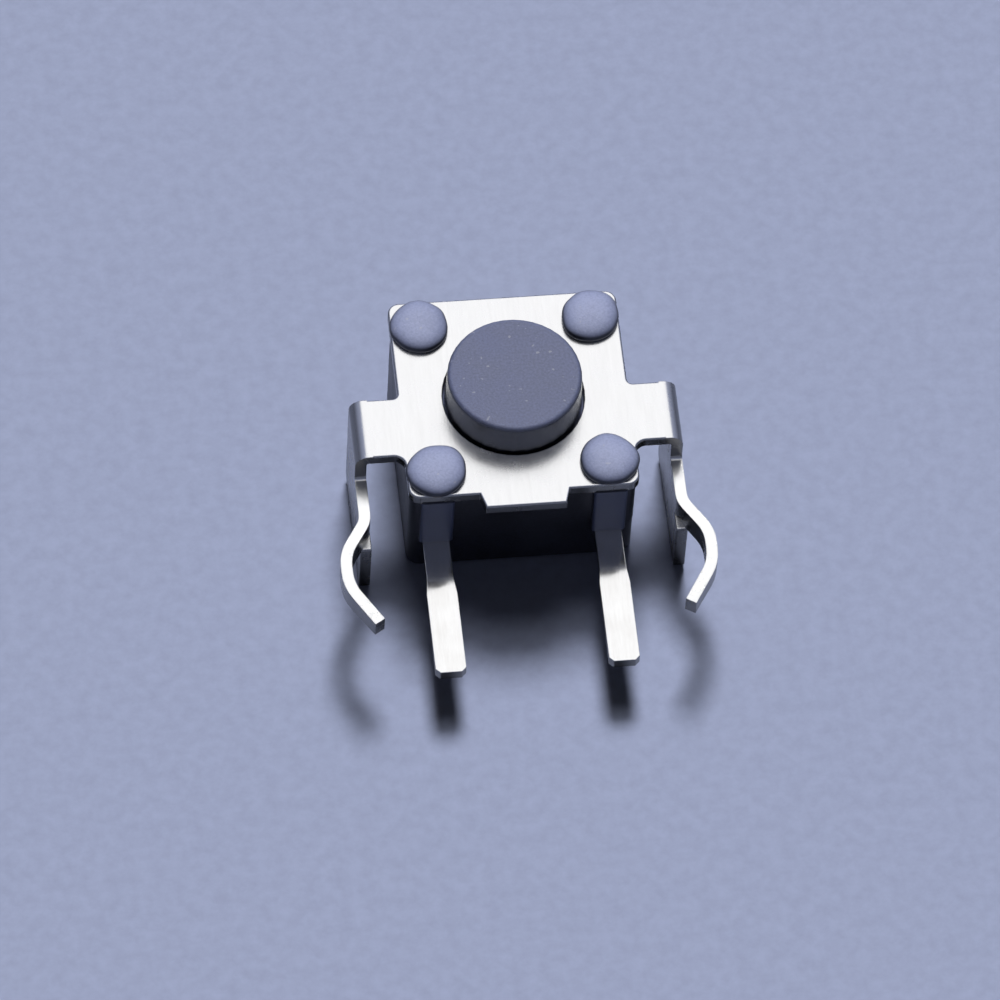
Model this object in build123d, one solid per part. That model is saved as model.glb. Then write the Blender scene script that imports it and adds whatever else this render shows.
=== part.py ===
from build123d import *
import os

# Side-push tactile switch, 6 mm square, with a snap-in sheet-metal bracket.
# Millimetres. +Z is the button's axis, -Y points to the circuit board, and the
# origin is the middle of the housing's flat back face.

# Driving dimensions, taken from the photograph and from this size of switch
BODY_WIDTH = 5.9             # moulded housing, left to right
BODY_DEPTH = 6.0             # moulded housing over its ribs, front to back
COVER_WIDTH = 6.0            # stamped cover over the housing
COVER_TOP = 3.5              # back face to the cover's outer face
SHEET = 0.3                  # steel sheet of the cover and its legs
BUTTON_TOP = 4.5             # back face to the button's face
BUTTON_RADIUS = 1.75
BUTTON_TRAVEL = 0.25
STAKE_PITCH = 4.5            # between the four melted heads
TERMINAL_PITCH = 4.5         # between the two soldered terminals
TERMINAL_TIP = 7.0           # button axis to the terminals' ends
LEG_SPAN = 8.25              # between the middles of the two legs
LEG_TIP = 6.0                # button axis to the legs' ends

# Cover and bracket
COVER_UNDERSIDE = COVER_TOP - SHEET
COVER_FRONT = -2.96          # its front and back edges, along Y
COVER_BACK = 3.1
COVER_CORNER = 0.3
COVER_HOLE_RADIUS = 1.85
STAKE_HOLE_RADIUS = 0.55
STAMPED_EDGE = 0.06          # rolled-over edge that the press leaves on the outer face
HOLE_EDGE = 0.02             # the same round the big hole, which is punched finer
FRONT_STUB_ROOT = 2.35       # what is left of the strip that carried the blank
FRONT_STUB_TIP = 2.1
FRONT_STUB_REACH = 0.43
WING_BACK = 0.14             # a wing's back and front edges, along Y
WING_FRONT = -1.63
WING_BACK_FILLET = 0.15
WING_FRONT_FILLET = 0.3
WING_HEEL = 0.25             # lower back corner of the side wall
FOLD_RADIUS = 0.22           # fold of the wing, at the sheet's middle
LEG_TOP = 2.56               # a leg's two long edges, along Z
LEG_BOTTOM = 1.84
LEG_ROOT_FILLET = 0.12
LEG_TIP_TOP = 2.46           # the same edges at the tapered tip
LEG_TIP_BOTTOM = 2.0
LEG_SHOULDER = -2.96         # where a leg starts to bulge, along Y
LEG_CROWN_START = -3.93      # ends of the bulge's flat crown
LEG_CROWN_END = -4.86
LEG_BULGE = 0.61
LEG_TOE_IN = 0.1             # how far the tip comes inside the root
LEG_BEND_RADII = [0.7, 1.2, 1.3]

# Housing
HOUSING_CORNER = 0.35
FLOOR = 1.4                  # floor of the well, and top of the metal strips in it
WALL_RECESS = 0.15           # upper wall behind the ribs
BASE_RECESS = 0.2            # lower wall behind the ribs
BASE_CHAMFER = 0.08
RIB_WIDTH = 0.88
RIB_DEPTH = 0.6
RIB_EDGE = 0.08
WELL_RADIUS = 2.45           # room for the button's flange
DOME_WELL_RADIUS = 2.08
DOME_WELL_TOP = 2.05
POST_RADIUS = 0.5
HEAD_RADIUS = 0.72
HEAD_UNDERCUT = 0.05
HEAD_HEIGHT = 0.28
HEAD_SHOULDER = 0.1          # height of the head's widest line
HEAD_FLAT = 0.4              # radius of the flat that the hot tool leaves
EJECTOR_MARK_RADIUS = 0.45   # left on the back face by the mould's ejector pins
EJECTOR_MARK_DEPTH = 0.04
EJECTOR_MARK_PITCH = 3.6

# Contact dome
DOME_RADIUS = 2.0
DOME_RISE = 0.35
DOME_SHEET = 0.08
DOME_TRIM = 1.7              # button axis to each of its two trimmed sides
DOME_GAP = 0.03              # left over the dome at rest and under it when pressed

# Button
FLANGE_RADIUS = 2.3
FLANGE_BOTTOM = 2.55
FLANGE_TOP = COVER_UNDERSIDE - 0.02
FLANGE_EDGE = 0.08
STEM_ROOT_RADIUS = 1.8
BUTTON_EDGE = 0.13
BOSS_RADIUS = 0.8
BOSS_BOTTOM = FLOOR + DOME_RISE + DOME_SHEET + DOME_GAP
BOSS_EDGE = 0.15

# Terminals
TERMINAL_SHEET = 0.3
STRIP_WIDTH = 0.7
TERMINAL_WIDTH = 0.8
FLARE_START = -4.15          # where the strip starts to widen, along Y
FLARE_END = -4.6
TIP_CHAMFER = 0.12
STRIP_INNER_END = -1.95      # end of the straight lead inside the housing, along Y
CROSS_RUN = 2.3              # button axis to the strips' cross runs
CROSS_RUN_WIDTH = 0.5
MIDDLE_CONTACT_RADIUS = 0.5
MIDDLE_CONTACT_RISE = DOME_RISE - BUTTON_TRAVEL - DOME_GAP
MIDDLE_CONTACT_EDGE = 0.05
SIDE_CONTACT_INNER = 1.6
SIDE_CONTACT_OUTER = 2.3
SIDE_CONTACT_FRONT = -0.8    # end of the free side contact, along Y

OVERLAP = 0.1                # how far one shape reaches into the next before they join
NEAR = 0.01                  # tolerance for picking edges by their place


def block(x_range, y_range, z_range):
    """Box between two values on each axis."""
    low = [min(span) for span in (x_range, y_range, z_range)]
    size = [abs(span[1] - span[0]) for span in (x_range, y_range, z_range)]
    return Pos(*low) * Box(*size, align=Align.MIN)


def round_bar(radius, bottom, top, x=0.0, y=0.0):
    """Upright cylinder between two heights."""
    return Pos(x, y, (bottom + top) / 2) * Cylinder(radius, top - bottom)


def panel(x_range, y_range):
    """Flat rectangle between two values on X and on Y."""
    low_x, low_y = min(x_range), min(y_range)
    width, depth = abs(x_range[1] - x_range[0]), abs(y_range[1] - y_range[0])
    return Pos(low_x, low_y) * Rectangle(width, depth, align=Align.MIN)


def four_corners(pitch):
    """Corners of a square around the button's axis."""
    half = pitch / 2
    return [(x, y) for x in (-half, half) for y in (-half, half)]


def folded_strip(points, radii, thickness, width, width_axis):
    """Sheet strip along straight runs, folded to a radius at each corner."""
    path = Wire(FilletPolyline(*points, radius=radii).edges())
    start = Plane(origin=path @ 0, x_dir=width_axis, z_dir=path % 0)
    return sweep(start * Rectangle(width, thickness), path=path)


def vertices_at(shape, x, y):
    """Corners of a flat blank at one Y, on both sides of it."""
    return [v for v in shape.vertices() if abs(abs(v.X) - x) < NEAR and abs(v.Y - y) < NEAR]


def cross_edges_at(shape, y, z):
    """Edges that run left to right at one place seen from the side."""
    return [e for e in shape.edges().filter_by(Axis.X)
            if abs(e.center().Y - y) < NEAR and abs(e.center().Z - z) < NEAR]


def cover_blank():
    """Flat of the cover, with its two wings and the stub of the carrier strip."""
    half = COVER_WIDTH / 2
    wing_end = LEG_SPAN / 2 - FOLD_RADIUS
    square = panel((-half, half), (COVER_FRONT, COVER_BACK))
    blank = fillet(square.vertices(), COVER_CORNER)
    blank += panel((-wing_end, wing_end), (WING_FRONT, WING_BACK))
    blank = fillet(vertices_at(blank, half, WING_BACK), WING_BACK_FILLET)
    blank = fillet(vertices_at(blank, half, WING_FRONT), WING_FRONT_FILLET)
    root, tip = FRONT_STUB_ROOT / 2, FRONT_STUB_TIP / 2
    stub_end = COVER_FRONT - FRONT_STUB_REACH
    inside = COVER_FRONT + OVERLAP
    blank += make_face(Polyline((-root, COVER_FRONT), (-tip, stub_end), (tip, stub_end),
                                (root, COVER_FRONT), (root, inside), (-root, inside), close=True))
    blank -= Circle(COVER_HOLE_RADIUS)
    for x, y in four_corners(STAKE_PITCH):
        blank -= Pos(x, y) * Circle(STAKE_HOLE_RADIUS)
    return blank


def rolled_cover():
    """Cover sheet with the press's rolled edge round its outside and its big hole."""
    cover = Pos(0, 0, COVER_UNDERSIDE) * extrude(cover_blank(), SHEET)
    wing_end = LEG_SPAN / 2 - FOLD_RADIUS
    outer_face = cover.faces().sort_by(Axis.Z)[-1]
    outline = [e for e in outer_face.outer_wire().edges()
               if abs(e.center().X) < wing_end - NEAR and e.length > 2 * STAMPED_EDGE]
    cover = fillet(outline, STAMPED_EDGE)
    hole_rim = [e for e in cover.edges().filter_by(GeomType.CIRCLE)
                if abs(e.radius - COVER_HOLE_RADIUS) < NEAR and e.center().Z > COVER_TOP - NEAR]
    return fillet(hole_rim, HOLE_EDGE)


def folded_wall():
    """Right-hand wing's fold and the side wall that hangs from it."""
    x_wall = LEG_SPAN / 2
    z_sheet = COVER_TOP - SHEET / 2
    y_middle = (WING_BACK + WING_FRONT) / 2
    path = [(x_wall - FOLD_RADIUS - OVERLAP, y_middle, z_sheet), (x_wall, y_middle, z_sheet),
            (x_wall, y_middle, LEG_BOTTOM)]
    return folded_strip(path, [FOLD_RADIUS], SHEET, WING_BACK - WING_FRONT, (0, 1, 0))


def kinked_leg():
    """Right-hand snap-in leg, bulged outwards so that it grips in the board's hole."""
    x_leg = LEG_SPAN / 2
    y_root = (WING_BACK + WING_FRONT) / 2
    z_middle = (LEG_TOP + LEG_BOTTOM) / 2
    path = [(x_leg, y_root, z_middle), (x_leg, LEG_SHOULDER, z_middle),
            (x_leg + LEG_BULGE, LEG_CROWN_START, z_middle),
            (x_leg + LEG_BULGE, LEG_CROWN_END, z_middle),
            (x_leg - LEG_TOE_IN, -LEG_TIP, z_middle)]
    strip = folded_strip(path, LEG_BEND_RADII, SHEET, LEG_TOP - LEG_BOTTOM, (0, 0, 1))
    beyond = -LEG_TIP - SHEET
    side_view = make_face(Polyline((0, LEG_TOP), (0, LEG_BOTTOM), (LEG_CROWN_START, LEG_BOTTOM),
                                   (beyond, LEG_TIP_BOTTOM), (beyond, LEG_TIP_TOP),
                                   (LEG_CROWN_START, LEG_TOP), close=True))
    return strip & extrude(Plane.YZ * side_view, LEG_SPAN, both=True)


def make_cover_bracket():
    """One folded sheet: cover, wings, side walls and snap-in legs."""
    side = folded_wall() + kinked_leg()
    side = fillet(cross_edges_at(side, WING_FRONT, LEG_TOP), LEG_ROOT_FILLET)
    side = fillet(cross_edges_at(side, WING_BACK, LEG_BOTTOM), WING_HEEL)
    return rolled_cover() + side + mirror(side, about=Plane.YZ)


def terminal_lead(x):
    """Flat of a terminal's straight lead, from inside the housing out to the soldered end."""
    narrow, wide = STRIP_WIDTH / 2, TERMINAL_WIDTH / 2
    right_side = [(x + narrow, STRIP_INNER_END), (x + narrow, FLARE_START), (x + wide, FLARE_END),
                  (x + wide, TIP_CHAMFER - TERMINAL_TIP), (x + wide - TIP_CHAMFER, -TERMINAL_TIP)]
    left_side = [(2 * x - point_x, y) for point_x, y in reversed(right_side)]
    return make_face(Polyline(*right_side, *left_side, close=True))


def metal_strip(flat):
    """Stamped strip, level with the floor of the well."""
    return Pos(0, 0, FLOOR - TERMINAL_SHEET) * extrude(flat, TERMINAL_SHEET)


def make_left_terminal():
    """Terminal that carries the raised contact in the middle."""
    x_lead = -TERMINAL_PITCH / 2
    half = STRIP_WIDTH / 2
    run_front = -CROSS_RUN - CROSS_RUN_WIDTH / 2
    run_back = -CROSS_RUN + CROSS_RUN_WIDTH / 2
    flat = terminal_lead(x_lead)
    flat += panel((x_lead - half, half), (run_front, run_back))
    flat += panel((-half, half), (run_front, 0))
    flat += Circle(MIDDLE_CONTACT_RADIUS + OVERLAP)
    contact = round_bar(MIDDLE_CONTACT_RADIUS, FLOOR - OVERLAP, FLOOR + MIDDLE_CONTACT_RISE)
    contact = chamfer(contact.edges().sort_by(Axis.Z)[-1], MIDDLE_CONTACT_EDGE)
    return metal_strip(flat) + contact


def make_right_terminal():
    """Terminal that carries the two side contacts under the dome's rim."""
    inner, outer = SIDE_CONTACT_INNER, SIDE_CONTACT_OUTER
    run_back = CROSS_RUN + CROSS_RUN_WIDTH / 2
    flat = terminal_lead(TERMINAL_PITCH / 2)
    flat += panel((inner, outer), (-CROSS_RUN, run_back))
    flat += panel((-outer, outer), (run_back - CROSS_RUN_WIDTH, run_back))
    flat += panel((-outer, -inner), (SIDE_CONTACT_FRONT, run_back))
    return metal_strip(flat)


def melted_head():
    """Flattened dome that the hot staking tool leaves on a post."""
    foot = (HEAD_RADIUS - HEAD_UNDERCUT, 0)
    widest = (HEAD_RADIUS, HEAD_SHOULDER)
    flat_rim = (HEAD_FLAT, HEAD_HEIGHT)
    outline = Polyline(flat_rim, (0, HEAD_HEIGHT), (0, 0), foot, widest)
    outline += EllipticalCenterArc((HEAD_FLAT, HEAD_SHOULDER), HEAD_RADIUS - HEAD_FLAT,
                                   HEAD_HEIGHT - HEAD_SHOULDER, arc_size=90)
    return revolve(Plane.XZ * make_face(outline), Axis.Z)


def make_housing(metal_inside):
    """Moulded base, hollowed for the dome and the button's flange."""
    half_depth = BODY_DEPTH / 2
    lower = Rectangle(BODY_WIDTH, BODY_DEPTH - 2 * BASE_RECESS)
    lower = extrude(fillet(lower.vertices(), HOUSING_CORNER), FLOOR)
    lower = chamfer(lower.faces().sort_by(Axis.Z)[0].edges(), BASE_CHAMFER)
    upper = Rectangle(BODY_WIDTH, BODY_DEPTH - 2 * WALL_RECESS)
    upper = extrude(fillet(upper.vertices(), HOUSING_CORNER), COVER_UNDERSIDE - FLOOR)
    body = lower + Pos(0, 0, FLOOR) * upper
    for x, y in four_corners(TERMINAL_PITCH):
        outside = half_depth if y > 0 else -half_depth
        inside = outside - RIB_DEPTH if y > 0 else outside + RIB_DEPTH
        rib = block((x - RIB_WIDTH / 2, x + RIB_WIDTH / 2), (inside, outside), (FLOOR, COVER_UNDERSIDE))
        corners = [e for e in rib.edges().filter_by(Axis.Z) if abs(e.center().Y - outside) < NEAR]
        body += fillet(corners, RIB_EDGE)
    body -= round_bar(WELL_RADIUS, DOME_WELL_TOP, COVER_TOP)
    body -= round_bar(DOME_WELL_RADIUS, FLOOR, COVER_TOP)
    for x, y in four_corners(STAKE_PITCH):
        body += round_bar(POST_RADIUS, COVER_UNDERSIDE - OVERLAP, COVER_TOP + HEAD_SHOULDER, x, y)
        body += Pos(x, y, COVER_TOP) * melted_head()
    for x, y in four_corners(EJECTOR_MARK_PITCH):
        body -= round_bar(EJECTOR_MARK_RADIUS, -OVERLAP, EJECTOR_MARK_DEPTH, x, y)
    for metal in metal_inside:
        body -= metal
    return body


def make_snap_dome():
    """Thin sprung disc with two trimmed sides; it clicks and closes the circuit."""
    sphere_radius = (DOME_RADIUS ** 2 + DOME_RISE ** 2) / (2 * DOME_RISE)
    middle = Pos(0, 0, FLOOR + DOME_RISE - sphere_radius)
    shell = middle * Sphere(sphere_radius + DOME_SHEET) - middle * Sphere(sphere_radius)
    shell &= round_bar(DOME_RADIUS, FLOOR, COVER_UNDERSIDE)
    return shell & block((-DOME_RADIUS, DOME_RADIUS), (-DOME_TRIM, DOME_TRIM), (FLOOR, COVER_UNDERSIDE))


def make_button():
    """Round button with its retaining flange and the boss that presses the dome."""
    root = Plane.XY.offset(FLANGE_TOP - OVERLAP) * Circle(STEM_ROOT_RADIUS)
    face = Plane.XY.offset(BUTTON_TOP) * Circle(BUTTON_RADIUS)
    stem = loft([root, face])
    stem = fillet(stem.edges().sort_by(Axis.Z)[-1], BUTTON_EDGE)
    flange = round_bar(FLANGE_RADIUS, FLANGE_BOTTOM, FLANGE_TOP)
    flange = chamfer(flange.edges().sort_by(Axis.Z)[-1], FLANGE_EDGE)
    boss = round_bar(BOSS_RADIUS, BOSS_BOTTOM, FLANGE_BOTTOM + OVERLAP)
    boss = chamfer(boss.edges().sort_by(Axis.Z)[0], BOSS_EDGE)
    return stem + flange + boss


os.makedirs("parts", exist_ok=True)
left_terminal = make_left_terminal()
right_terminal = make_right_terminal()
pieces = {
    "housing": make_housing([left_terminal, right_terminal]),
    "cover_bracket": make_cover_bracket(),
    "button": make_button(),
    "snap_dome": make_snap_dome(),
    "left_terminal": left_terminal,
    "right_terminal": right_terminal,
}
for name, shape in pieces.items():
    export_step(shape, f"parts/{name}.step")
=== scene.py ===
import bpy
import bmesh
import math
import random
from mathutils import Matrix, Vector


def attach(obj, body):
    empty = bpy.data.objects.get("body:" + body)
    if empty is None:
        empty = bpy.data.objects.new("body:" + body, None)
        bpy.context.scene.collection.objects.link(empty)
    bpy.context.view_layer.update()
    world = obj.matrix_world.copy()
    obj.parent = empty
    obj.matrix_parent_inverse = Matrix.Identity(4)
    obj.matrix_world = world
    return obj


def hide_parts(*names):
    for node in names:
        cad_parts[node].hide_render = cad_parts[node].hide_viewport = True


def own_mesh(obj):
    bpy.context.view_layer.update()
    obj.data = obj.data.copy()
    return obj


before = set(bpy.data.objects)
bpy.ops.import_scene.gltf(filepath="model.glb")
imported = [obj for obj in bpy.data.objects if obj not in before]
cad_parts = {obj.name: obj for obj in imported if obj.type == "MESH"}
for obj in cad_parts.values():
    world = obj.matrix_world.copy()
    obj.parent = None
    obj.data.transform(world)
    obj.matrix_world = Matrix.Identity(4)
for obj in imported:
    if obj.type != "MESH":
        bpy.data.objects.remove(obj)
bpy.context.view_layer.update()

# Lengths in metres, angles in degrees, colours as linear values
MM = 0.001
BLACK = (0.0, 0.0, 0.0)

# Camera, fitted to the photograph's points
CAMERA_AZIMUTH = -9.47
CAMERA_ELEVATION = 56.7
CAMERA_ROLL = 4.18
CAMERA_DISTANCE = 261.92 * MM
CAMERA_LENS = 359.16           # millimetres, as is the sensor's width
SENSOR_WIDTH = 36.0
AIM_RIGHT = -0.2087 * MM       # from the origin to the picture's middle
AIM_UP = -0.8104 * MM

# Floor and studio
FLOOR_COLOUR = (0.332, 0.371, 0.533)
FLOOR_MOTTLE = 0.06            # share by which its tone goes up and down
FLOOR_SIZE = 4.0
WORLD_LIGHT = 0.03
LIGHT_AZIMUTH = 8.0            # from straight behind the object towards its right
KEY_SHARE = 0.77
KEY_ELEVATION = 50.0
KEY_ANGLE = 17.0
TOP_SHARE = 0.19
TOP_ELEVATION = 63.0
TOP_ANGLE = 21.0
SOFTBOX_WIDTH = 0.34
SOFTBOX_LENGTH = 0.56
SOFTBOX_DISTANCE = 0.40
SOFTBOX_ELEVATION = 68.0
SOFTBOX_BRIGHTNESS = 1.03
SOFTBOX_COLOUR = (1.0, 0.97, 0.86)

# Melted heads of the housing's posts
STAKE_PITCH = 4.5 * MM
COVER_TOP = 3.5 * MM
HEAD_SHOULDER = 0.1 * MM       # height of a head's widest line over the cover
HEAD_DOME = 0.235 * MM         # from there to its top
HEAD_SHAPE = 2.6               # 2 is a round dome, higher is flatter on top
HEAD_SUNK = 0.02 * MM          # depth of its rim in the solid head's
HEAD_RINGS = 9
HEAD_SIDES = 40
HEADS = {                      # side, back or front, and radii at eight directions from +X on
    "head_back_left": (-1, 1, (0.76, 0.80, 0.82, 0.76, 0.78, 0.76, 0.79, 0.78)),
    "head_back_right": (1, 1, (0.75, 0.83, 0.80, 0.76, 0.75, 0.82, 0.77, 0.75)),
    "head_front_left": (-1, -1, (0.79, 0.86, 0.78, 0.75, 0.79, 0.77, 0.79, 0.77)),
    "head_front_right": (1, -1, (0.81, 0.77, 0.82, 0.77, 0.75, 0.76, 0.75, 0.76)),
}

# Lower part of the bracket's two side walls, which the photograph shows and the solid lacks
LEG_SPAN = 8.25 * MM
SHEET = 0.3 * MM
WING_BACK = 0.14 * MM
WING_FRONT = -1.63 * MM
LEG_BOTTOM = 1.84 * MM
WALL_BOTTOM = 0.1 * MM
WALL_FRONT = -3.4 * MM
WALL_TOP = 2.3 * MM            # inside the wall of the CAD node
WALL_CORNER = 0.25 * MM
WALL_TOE = 0.06 * MM           # smaller corners of the edge on the board
WALL_INSET = 0.002 * MM        # keeps the two walls' faces from lying in one plane
SHEARED_EDGE = 0.02 * MM

# Finishes, with painted shade and painted light
METAL_WALL_PAINTED_SHADE = 0.68        # painted shade on walls, folds and sheared edges, which mirror dim surroundings
METAL_RIM = (0.75, 0.97)       # heights of the normal from a wall to a top
RIB_FACE = 2.95 * MM           # button axis to just behind the front ribs' faces
# painted light: the proud front ribs paler than the shaded wall between them
RIB_PAINTED_LIGHT = (0.066, 0.078, 0.130)
DUST_COLOUR = (0.45, 0.45, 0.48)
RUBBED_PLASTIC = 2.0           # times the pale tone, on sharp edges
RUBBED_METAL = 1.1
SHEARED_METALLIC = 0.3
LOW_WALL_PAINTED_SHADE = 0.5           # painted shade near the floor, which fades out at LOW_WALL_TOP
LOW_WALL_TOP = 2.6 * MM
LEG_EDGES = (2.3 * MM, 2.8 * MM)   # between them, faces that look up are sheared edges


def direction(azimuth, elevation):
    """Unit vector towards a place round the object; azimuth 0 is straight behind it."""
    a, e = math.radians(azimuth), math.radians(elevation)
    return Vector((math.sin(a) * math.cos(e), math.cos(a) * math.cos(e), math.sin(e)))


def new_object(name, data):
    """Object in the scene that holds the given data."""
    made = bpy.data.objects.new(name, data)
    bpy.context.scene.collection.objects.link(made)
    return made


def closed_object(name, shape, material):
    """Object of a closed bmesh, with its faces turned outwards."""
    bmesh.ops.recalc_face_normals(shape, faces=shape.faces)
    mesh = bpy.data.meshes.new(name)
    shape.to_mesh(mesh)
    shape.free()
    mesh.materials.append(material)
    return new_object(name, mesh)


def make_camera():
    """Long-lens camera at the photograph's angle, rolled as the photograph is."""
    a, e, r = (math.radians(v) for v in (CAMERA_AZIMUTH, CAMERA_ELEVATION, CAMERA_ROLL))
    back = Vector((math.sin(a) * math.cos(e), -math.cos(a) * math.cos(e), math.sin(e)))
    level_right = Vector((math.cos(a), math.sin(a), 0.0))
    level_up = back.cross(level_right)
    right = math.cos(r) * level_right + math.sin(r) * level_up
    up = math.cos(r) * level_up - math.sin(r) * level_right
    place = back * CAMERA_DISTANCE
    towards = (place - (right * AIM_RIGHT + up * AIM_UP)).normalized()
    right = up.cross(towards).normalized()
    up = towards.cross(right)
    data = bpy.data.cameras.new("camera")
    data.sensor_width = SENSOR_WIDTH
    data.lens = CAMERA_LENS
    data.clip_start = 0.01
    data.clip_end = 20.0
    camera = new_object("camera", data)
    turned = Matrix((right, up, towards)).transposed().to_4x4()
    camera.matrix_world = Matrix.Translation(place) @ turned
    bpy.context.scene.camera = camera


class Nodes:
    """Short way to write a node tree."""

    def __init__(self, tree):
        self.tree = tree
        tree.nodes.clear()

    def add(self, kind, inputs=None, **settings):
        node = self.tree.nodes.new(kind)
        for name, value in settings.items():
            setattr(node, name, value)
        for name, value in (inputs or {}).items():
            if isinstance(value, bpy.types.NodeSocket):
                self.tree.links.new(value, node.inputs[name])
            else:
                node.inputs[name].default_value = value
        return node

    def maths(self, operation, first, second=0.0, third=0.0):
        settings = {0: first, 1: second, 2: third}
        return self.add("ShaderNodeMath", settings, operation=operation).outputs[0]

    def ramp(self, factor, stops):
        """Colour ramp of (place, grey value) stops."""
        node = self.add("ShaderNodeValToRGB", {"Fac": factor})
        elements = node.color_ramp.elements
        while len(elements) < len(stops):
            elements.new(0.5)
        for element, (place, value) in zip(elements, stops):
            element.position = place
            element.color = (value, value, value, 1.0)
        return node.outputs["Color"]

    def mix(self, factor, first, second):
        """Mix of two colours, each a socket or three numbers."""
        node = self.tree.nodes.new("ShaderNodeMix")
        node.data_type = "RGBA"
        for identifier, value in (("Factor_Float", factor), ("A_Color", first), ("B_Color", second)):
            socket = next(s for s in node.inputs if s.identifier == identifier)
            if isinstance(value, bpy.types.NodeSocket):
                self.tree.links.new(value, socket)
            else:
                socket.default_value = value if isinstance(value, float) else (*value, 1.0)
        return next(s for s in node.outputs if s.identifier == "Result_Color")

    def noise(self, place, scale, detail=3.0, roughness=0.5):
        inputs = {"Vector": place, "Scale": scale, "Detail": detail, "Roughness": roughness}
        return self.add("ShaderNodeTexNoise", inputs).outputs["Fac"]

    def stretched(self, place, scales):
        """Coordinates multiplied along each axis, for streaks."""
        return self.add("ShaderNodeMapping", {"Vector": place, "Scale": scales}).outputs[0]


def new_material(name):
    material = bpy.data.materials.new(name)
    material.use_nodes = True
    nodes = Nodes(material.node_tree)
    surface = nodes.add("ShaderNodeBsdfPrincipled")
    output = nodes.add("ShaderNodeOutputMaterial")
    nodes.tree.links.new(surface.outputs[0], output.inputs[0])
    place = nodes.add("ShaderNodeTexCoord").outputs["Object"]
    return material, nodes, surface, place


def worn_edges(nodes, radius):
    """Bright on sharp outer edges: how far a rounded normal leaves the true one."""
    rounded = nodes.add("ShaderNodeBevel", {"Radius": radius}, samples=6).outputs[0]
    true_normal = nodes.add("ShaderNodeNewGeometry").outputs["Normal"]
    dot = nodes.add("ShaderNodeVectorMath", {0: rounded, 1: true_normal}, operation="DOT_PRODUCT")
    return nodes.maths("SUBTRACT", 1.0, dot.outputs["Value"])


def set_bump(nodes, surface, height, distance, strength=1.0, normal=None):
    inputs = {"Height": height, "Distance": distance, "Strength": strength}
    if normal is not None:
        inputs["Normal"] = normal
    bump = nodes.add("ShaderNodeBump", inputs).outputs[0]
    nodes.tree.links.new(bump, surface.inputs["Normal"])


def height_mask(nodes, place, low, high):
    """0 below one height and 1 above another."""
    height = nodes.add("ShaderNodeSeparateXYZ", {0: place}).outputs["Z"]
    span = nodes.add("ShaderNodeMapRange", {"Value": height, "From Min": low, "From Max": high})
    return span.outputs[0]


def upward_mask(nodes, low, high):
    """1 on faces that look up, 0 on walls, and between them by the height of the normal."""
    normal = nodes.add("ShaderNodeNewGeometry").outputs["Normal"]
    upward = nodes.add("ShaderNodeSeparateXYZ", {0: normal}).outputs["Z"]
    return nodes.add("ShaderNodeMapRange", {"Value": upward, "From Min": low, "From Max": high}).outputs[0]


def blend(nodes, factor, low, high):
    """Number between two others."""
    return nodes.maths("MULTIPLY_ADD", factor, high - low, low)


def plastic_material(name, dark, pale, wall_rough, top_rough, shine, grain, painted_wall_shade, rim, ribs=False):
    """Black moulded plastic: fine grain, faint cloudiness, dust, paler rubbed edges.

    Walls get painted shade: darker than tops by the share painted_wall_shade. Between the two heights of
    the normal in rim, one passes into the other. With ribs, the front ribs get painted light: paler than
    the shaded wall between them.
    """
    material, nodes, surface, place = new_material(name)
    cloud = nodes.noise(place, 900.0, 4.0)
    speckle = nodes.noise(place, 16000.0, 2.0)
    tone = nodes.maths("MULTIPLY_ADD", speckle, 0.6, nodes.maths("MULTIPLY", cloud, 0.4))
    tone = nodes.ramp(tone, [(0.38, 0.0), (0.62, 1.0)])
    colour = nodes.mix(tone, dark, pale)
    upward = upward_mask(nodes, *rim)
    rough = blend(nodes, upward, wall_rough, top_rough)
    # Painted shade: walls darker than tops
    colour = nodes.mix(upward, nodes.mix(painted_wall_shade, colour, BLACK), colour)
    if ribs:
        # Painted light on the front ribs
        depth = nodes.add("ShaderNodeSeparateXYZ", {0: place}).outputs["Y"]
        painted_rib_light = nodes.maths("LESS_THAN", depth, -RIB_FACE)
        colour = nodes.mix(painted_rib_light, colour, RIB_PAINTED_LIGHT)
    edge = nodes.ramp(worn_edges(nodes, 0.05 * MM), [(0.02, 0.0), (0.25, 1.0)])
    rub = nodes.maths("MULTIPLY", edge, nodes.ramp(speckle, [(0.4, 0.15), (0.6, 0.5)]))
    colour = nodes.mix(rub, colour, tuple(RUBBED_PLASTIC * v for v in pale))
    dust = nodes.ramp(nodes.noise(place, 9000.0, 0.0), [(0.80, 0.0), (0.84, 0.35)])
    dust = nodes.maths("MULTIPLY", dust, upward)
    colour = nodes.mix(dust, colour, DUST_COLOUR)
    nodes.tree.links.new(colour, surface.inputs["Base Color"])
    rough = nodes.maths("ADD", rough, nodes.maths("MULTIPLY_ADD", cloud, 0.3, -0.15))
    nodes.tree.links.new(rough, surface.inputs["Roughness"])
    surface.inputs["Specular IOR Level"].default_value = shine
    set_bump(nodes, surface, nodes.noise(place, 22000.0, 3.0, 0.6), grain)
    return material


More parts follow.
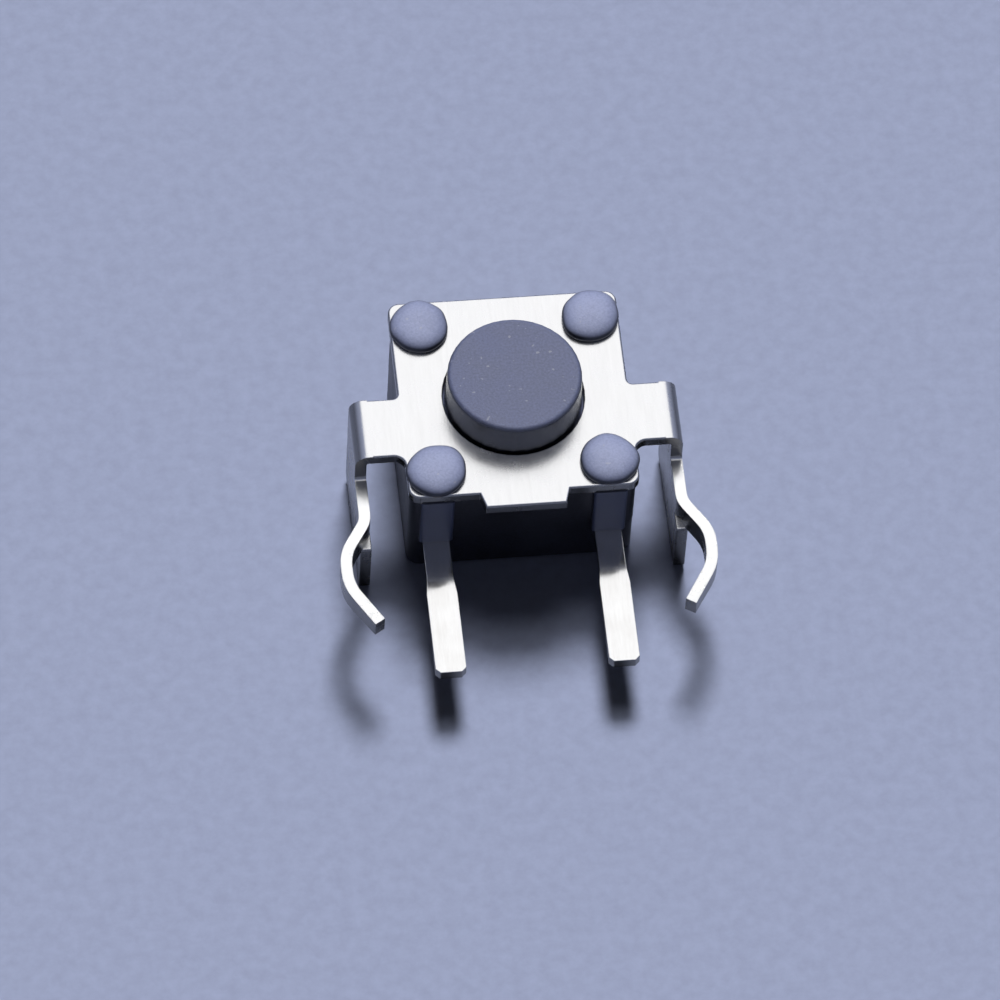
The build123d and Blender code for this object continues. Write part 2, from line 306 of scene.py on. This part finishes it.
def metal_material(name, clean, dull, rough_low, rough_high, streaks, sheared=None):
    """Plated sheet metal: rolling streaks, faint blotches, brighter rubbed edges.

    Walls and folds get painted shade. With a colour for sheared, low walls get painted shade
    towards the floor and the legs' upper edges have that colour.
    """
    material, nodes, surface, place = new_material(name)
    blotch = nodes.noise(place, 1400.0, 4.0, 0.6)
    lines = nodes.noise(nodes.stretched(place, streaks), 1.0, 4.0, 0.65)
    tone = nodes.ramp(nodes.maths("MULTIPLY_ADD", lines, 0.5, nodes.maths("MULTIPLY", blotch, 0.5)),
                      [(0.36, 0.0), (0.64, 1.0)])
    colour = nodes.mix(tone, dull, clean)
    edge = nodes.ramp(worn_edges(nodes, 0.04 * MM), [(0.02, 0.0), (0.3, 0.6)])
    colour = nodes.mix(edge, colour, tuple(RUBBED_METAL * v for v in clean))
    upward = upward_mask(nodes, *METAL_RIM)
    # Painted shade: walls and folds darker than faces that look up
    shade = nodes.maths("MULTIPLY", nodes.maths("SUBTRACT", 1.0, upward), METAL_WALL_PAINTED_SHADE)
    colour = nodes.mix(shade, colour, BLACK)
    surface.inputs["Metallic"].default_value = 1.0
    if sheared:
        # Painted shade on low walls, strongest at the floor
        low = nodes.maths("SUBTRACT", 1.0, height_mask(nodes, place, 0.0, LOW_WALL_TOP))
        colour = nodes.mix(nodes.maths("MULTIPLY", low, LOW_WALL_PAINTED_SHADE), colour, BLACK)
        bottom, top = (height_mask(nodes, place, edge, edge + 0.1 * MM) for edge in LEG_EDGES)
        edge_face = nodes.maths("MULTIPLY", upward, nodes.maths("SUBTRACT", bottom, top))
        colour = nodes.mix(edge_face, colour, sheared)
        nodes.tree.links.new(blend(nodes, edge_face, 1.0, SHEARED_METALLIC), surface.inputs["Metallic"])
    nodes.tree.links.new(colour, surface.inputs["Base Color"])
    span = nodes.add("ShaderNodeMapRange", {"Value": blotch, "From Min": 0.3, "From Max": 0.7,
                                            "To Min": rough_low, "To Max": rough_high})
    nodes.tree.links.new(span.outputs[0], surface.inputs["Roughness"])
    rounded = nodes.add("ShaderNodeBevel", {"Radius": 0.03 * MM}, samples=6).outputs[0]
    set_bump(nodes, surface, lines, 0.004 * MM, 0.35, rounded)
    return material


def paint(node, material):
    """Gives a CAD node one material in all its slots."""
    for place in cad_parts[node].material_slots:
        place.material = material


def make_floor():
    """Plain pale floor, flat and large."""
    half = FLOOR_SIZE / 2
    mesh = bpy.data.meshes.new("floor")
    mesh.from_pydata([(-half, -half, 0), (half, -half, 0), (half, half, 0), (-half, half, 0)],
                     [], [(0, 1, 2, 3)])
    floor = new_object("floor", mesh)
    material, nodes, surface, place = new_material("floor_paper")
    tone = nodes.ramp(nodes.noise(place, 2600.0, 4.0, 0.6), [(0.3, 0.0), (0.7, 1.0)])
    darker = tuple((1.0 - FLOOR_MOTTLE) * v for v in FLOOR_COLOUR)
    paler = tuple((1.0 + FLOOR_MOTTLE) * v for v in FLOOR_COLOUR)
    colour = nodes.mix(tone, darker, paler)
    nodes.tree.links.new(colour, surface.inputs["Base Color"])
    surface.inputs["Roughness"].default_value = 0.75
    surface.inputs["Specular IOR Level"].default_value = 0.08
    set_bump(nodes, surface, nodes.noise(place, 2500.0, 3.0), 0.004 * MM, 0.4)
    mesh.materials.append(material)


def make_world():
    """Even light all round; seen directly or in metal it has the floor's colour."""
    world = bpy.data.worlds.new("studio")
    bpy.context.scene.world = world
    world.use_nodes = True
    nodes = Nodes(world.node_tree)
    path = nodes.add("ShaderNodeLightPath").outputs
    seen = nodes.maths("MAXIMUM", path["Is Camera Ray"], path["Is Glossy Ray"])
    seen = nodes.maths("MAXIMUM", seen, path["Is Transmission Ray"])
    lighting = nodes.add("ShaderNodeBackground", {"Color": (1.0, 1.0, 1.0, 1.0),
                                                  "Strength": WORLD_LIGHT})
    backdrop = nodes.add("ShaderNodeBackground", {"Color": (*FLOOR_COLOUR, 1.0), "Strength": 1.0})
    both = nodes.add("ShaderNodeMixShader", {0: seen, 1: lighting.outputs[0], 2: backdrop.outputs[0]})
    output = nodes.add("ShaderNodeOutputWorld")
    nodes.tree.links.new(both.outputs[0], output.inputs[0])


def aim(lamp, towards):
    lamp.rotation_mode = "QUATERNION"
    lamp.rotation_quaternion = towards.to_track_quat("Z", "Y")


def make_sun(name, share, elevation, angle):
    """Soft light from behind that gives the floor one share of its brightness."""
    data = bpy.data.lights.new(name, "SUN")
    data.energy = share * math.pi / math.sin(math.radians(elevation))
    data.angle = math.radians(angle)
    sun = new_object(name, data)
    aim(sun, direction(LIGHT_AZIMUTH, elevation))
    sun.visible_glossy = False


def make_softbox():
    """Large soft light that only shows in shiny surfaces, placed where the cover mirrors it."""
    data = bpy.data.lights.new("softbox", "AREA")
    data.shape = "RECTANGLE"
    data.size = SOFTBOX_WIDTH
    data.size_y = SOFTBOX_LENGTH
    data.energy = SOFTBOX_BRIGHTNESS * math.pi * SOFTBOX_WIDTH * SOFTBOX_LENGTH
    data.color = SOFTBOX_COLOUR
    softbox = new_object("softbox", data)
    towards = direction(-CAMERA_AZIMUTH, SOFTBOX_ELEVATION)
    softbox.location = towards * SOFTBOX_DISTANCE
    aim(softbox, towards)
    softbox.visible_diffuse = False


def arc(centre_y, centre_z, radius, start, end, steps=6):
    """Points along part of a circle in the YZ plane, angles in degrees from +Y towards +Z."""
    points = []
    for step in range(steps + 1):
        angle = math.radians(start + (end - start) * step / steps)
        points.append((centre_y + radius * math.cos(angle), centre_z + radius * math.sin(angle)))
    return points


def lower_wall(name, side, material):
    """Rest of a side wall below the leg's root, cut from the same sheet."""
    back, front = WING_BACK - WALL_INSET, WING_FRONT + WALL_INSET
    corner, toe = WALL_CORNER, WALL_TOE
    top = LEG_BOTTOM - WALL_INSET
    outline = [(back, WALL_TOP)]
    outline += reversed(arc(back - corner, WALL_BOTTOM + corner, corner, -90, 0))
    outline += reversed(arc(WALL_FRONT + toe, WALL_BOTTOM + toe, toe, 180, 270))
    outline += reversed(arc(WALL_FRONT + toe, top - toe, toe, 90, 180))
    outline += [(front, top), (front, WALL_TOP)]
    half = SHEET / 2 - WALL_INSET
    shape = bmesh.new()
    inner, outer = ([shape.verts.new((side * LEG_SPAN / 2 + offset, y, z)) for y, z in outline]
                    for offset in (-half, half))
    shape.faces.new(inner)
    shape.faces.new(reversed(outer))
    for place in range(len(outline)):
        after = (place + 1) % len(outline)
        shape.faces.new((inner[after], inner[place], outer[place], outer[after]))
    wall = closed_object(name, shape, material)
    rolled = wall.modifiers.new("rolled_edge", "BEVEL")
    rolled.width = SHEARED_EDGE
    rolled.segments = 2
    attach(wall, "base")


def flexing_dome(material):
    """Copy of the snap dome in its own shape, in place of the hidden CAD node."""
    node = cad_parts["snap_dome"]
    mesh = node.data.copy()
    mesh.transform(node.matrix_world)
    mesh.materials.clear()
    mesh.materials.append(material)
    dome = new_object("flexing_dome", mesh)
    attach(dome, "base")
    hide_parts("snap_dome")
    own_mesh(dome)


def melted_head(name, side_x, side_y, radii, material):
    """Low dome that the hot tool leaves on a post, never quite round or flat."""
    x, y = side_x * STAKE_PITCH / 2, side_y * STAKE_PITCH / 2
    draw = random.Random(name)
    waves = [(count, draw.uniform(-0.006, 0.006), draw.uniform(0.0, math.tau)) for count in (7, 9, 11)]
    dents = [(draw.uniform(0.0, math.tau), draw.uniform(-0.06, 0.04)) for _ in range(5)]
    shape = bmesh.new()

    def outline(angle):
        """Radius in one direction, eased between the two given beside it."""
        place = angle / math.tau * len(radii)
        before = int(place)
        share = (1.0 - math.cos(math.pi * (place - before))) / 2
        radius = radii[before] * (1.0 - share) + radii[(before + 1) % len(radii)] * share
        unevenness = sum(size * math.cos(count * angle + turn) for count, size, turn in waves)
        return MM * radius * (1.0 + unevenness)

    def ring(share, height):
        points = []
        for side in range(HEAD_SIDES):
            angle = math.tau * side / HEAD_SIDES
            reach = outline(angle) * share
            lift = sum(depth * max(0.0, math.cos(angle - turn)) ** 3 for turn, depth in dents)
            rise = height * (1.0 + lift * share) if height > HEAD_SHOULDER else height
            points.append(shape.verts.new((x + reach * math.cos(angle), y + reach * math.sin(angle),
                                           COVER_TOP + rise)))
        return points

    rings = [ring(0.94, -HEAD_SUNK), ring(0.985, 0.35 * HEAD_SHOULDER), ring(1.0, HEAD_SHOULDER)]
    for step in range(1, HEAD_RINGS):
        share = math.cos(0.5 * math.pi * step / HEAD_RINGS)
        dome = (1.0 - share ** HEAD_SHAPE) ** 0.5
        rings.append(ring(share, HEAD_SHOULDER + HEAD_DOME * dome))
    for lower, upper in zip(rings, rings[1:]):
        for side in range(HEAD_SIDES):
            after = (side + 1) % HEAD_SIDES
            shape.faces.new((lower[side], lower[after], upper[after], upper[side]))
    top = shape.verts.new((x, y, COVER_TOP + HEAD_SHOULDER + HEAD_DOME))
    under = shape.verts.new((x, y, COVER_TOP - HEAD_SUNK))
    for side in range(HEAD_SIDES):
        after = (side + 1) % HEAD_SIDES
        shape.faces.new((rings[-1][side], rings[-1][after], top))
        shape.faces.new((rings[0][after], rings[0][side], under))
    head = closed_object(name, shape, material)
    head.data.shade_smooth()
    smooth = head.modifiers.new("smooth", "SUBSURF")
    smooth.levels = 1
    smooth.render_levels = 1
    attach(head, "base")


bpy.context.scene.view_settings.view_transform = "Standard"
make_camera()
make_world()
make_floor()
make_sun("key", KEY_SHARE, KEY_ELEVATION, KEY_ANGLE)
make_sun("top", TOP_SHARE, TOP_ELEVATION, TOP_ANGLE)
make_softbox()

# Housing: black plastic with painted shade on its walls and painted light on its front ribs
black = plastic_material("moulded_black", (0.014, 0.015, 0.022), (0.034, 0.037, 0.054),
                         0.42, 0.42, 0.5, 0.006 * MM, 0.55, (0.3, 0.8), ribs=True)
# Heads: base colour painted pale, partly the greyer melted surface, mostly painted sheen; rims get painted
# shade
melted = plastic_material("melted_black_painted_sheen", (0.245, 0.275, 0.43), (0.30, 0.335, 0.52),
                          0.3, 0.3, 0.5, 0.006 * MM, 0.88, (0.6, 0.99))
# Button: base colour painted slate, painted sheen on black plastic; sides get painted shade
button_black = plastic_material("button_black", (0.080, 0.093, 0.165), (0.115, 0.132, 0.230),
                                0.14, 0.5, 1.0, 0.010 * MM, 0.88, (0.3, 0.95))
tin = metal_material("tinned_steel", (0.74, 0.735, 0.72), (0.69, 0.685, 0.67), 0.22, 0.30,
                     (9000.0, 900.0, 9000.0), sheared=(0.82, 0.82, 0.82))
brass = metal_material("tinned_brass", (0.74, 0.735, 0.715), (0.67, 0.66, 0.635), 0.08, 0.14,
                       (9000.0, 900.0, 9000.0))
spring = metal_material("dome_steel", (0.78, 0.77, 0.74), (0.66, 0.65, 0.62), 0.25, 0.4,
                        (1200.0, 14000.0, 1200.0))
paint("housing", black)
paint("button", button_black)
paint("cover_bracket", tin)
paint("left_terminal", brass)
paint("right_terminal", brass)
paint("snap_dome", spring)
for name, (side_x, side_y, radii) in HEADS.items():
    melted_head(name, side_x, side_y, radii, melted)
lower_wall("left_wall_lower", -1, tin)
lower_wall("right_wall_lower", 1, tin)
flexing_dome(spring)
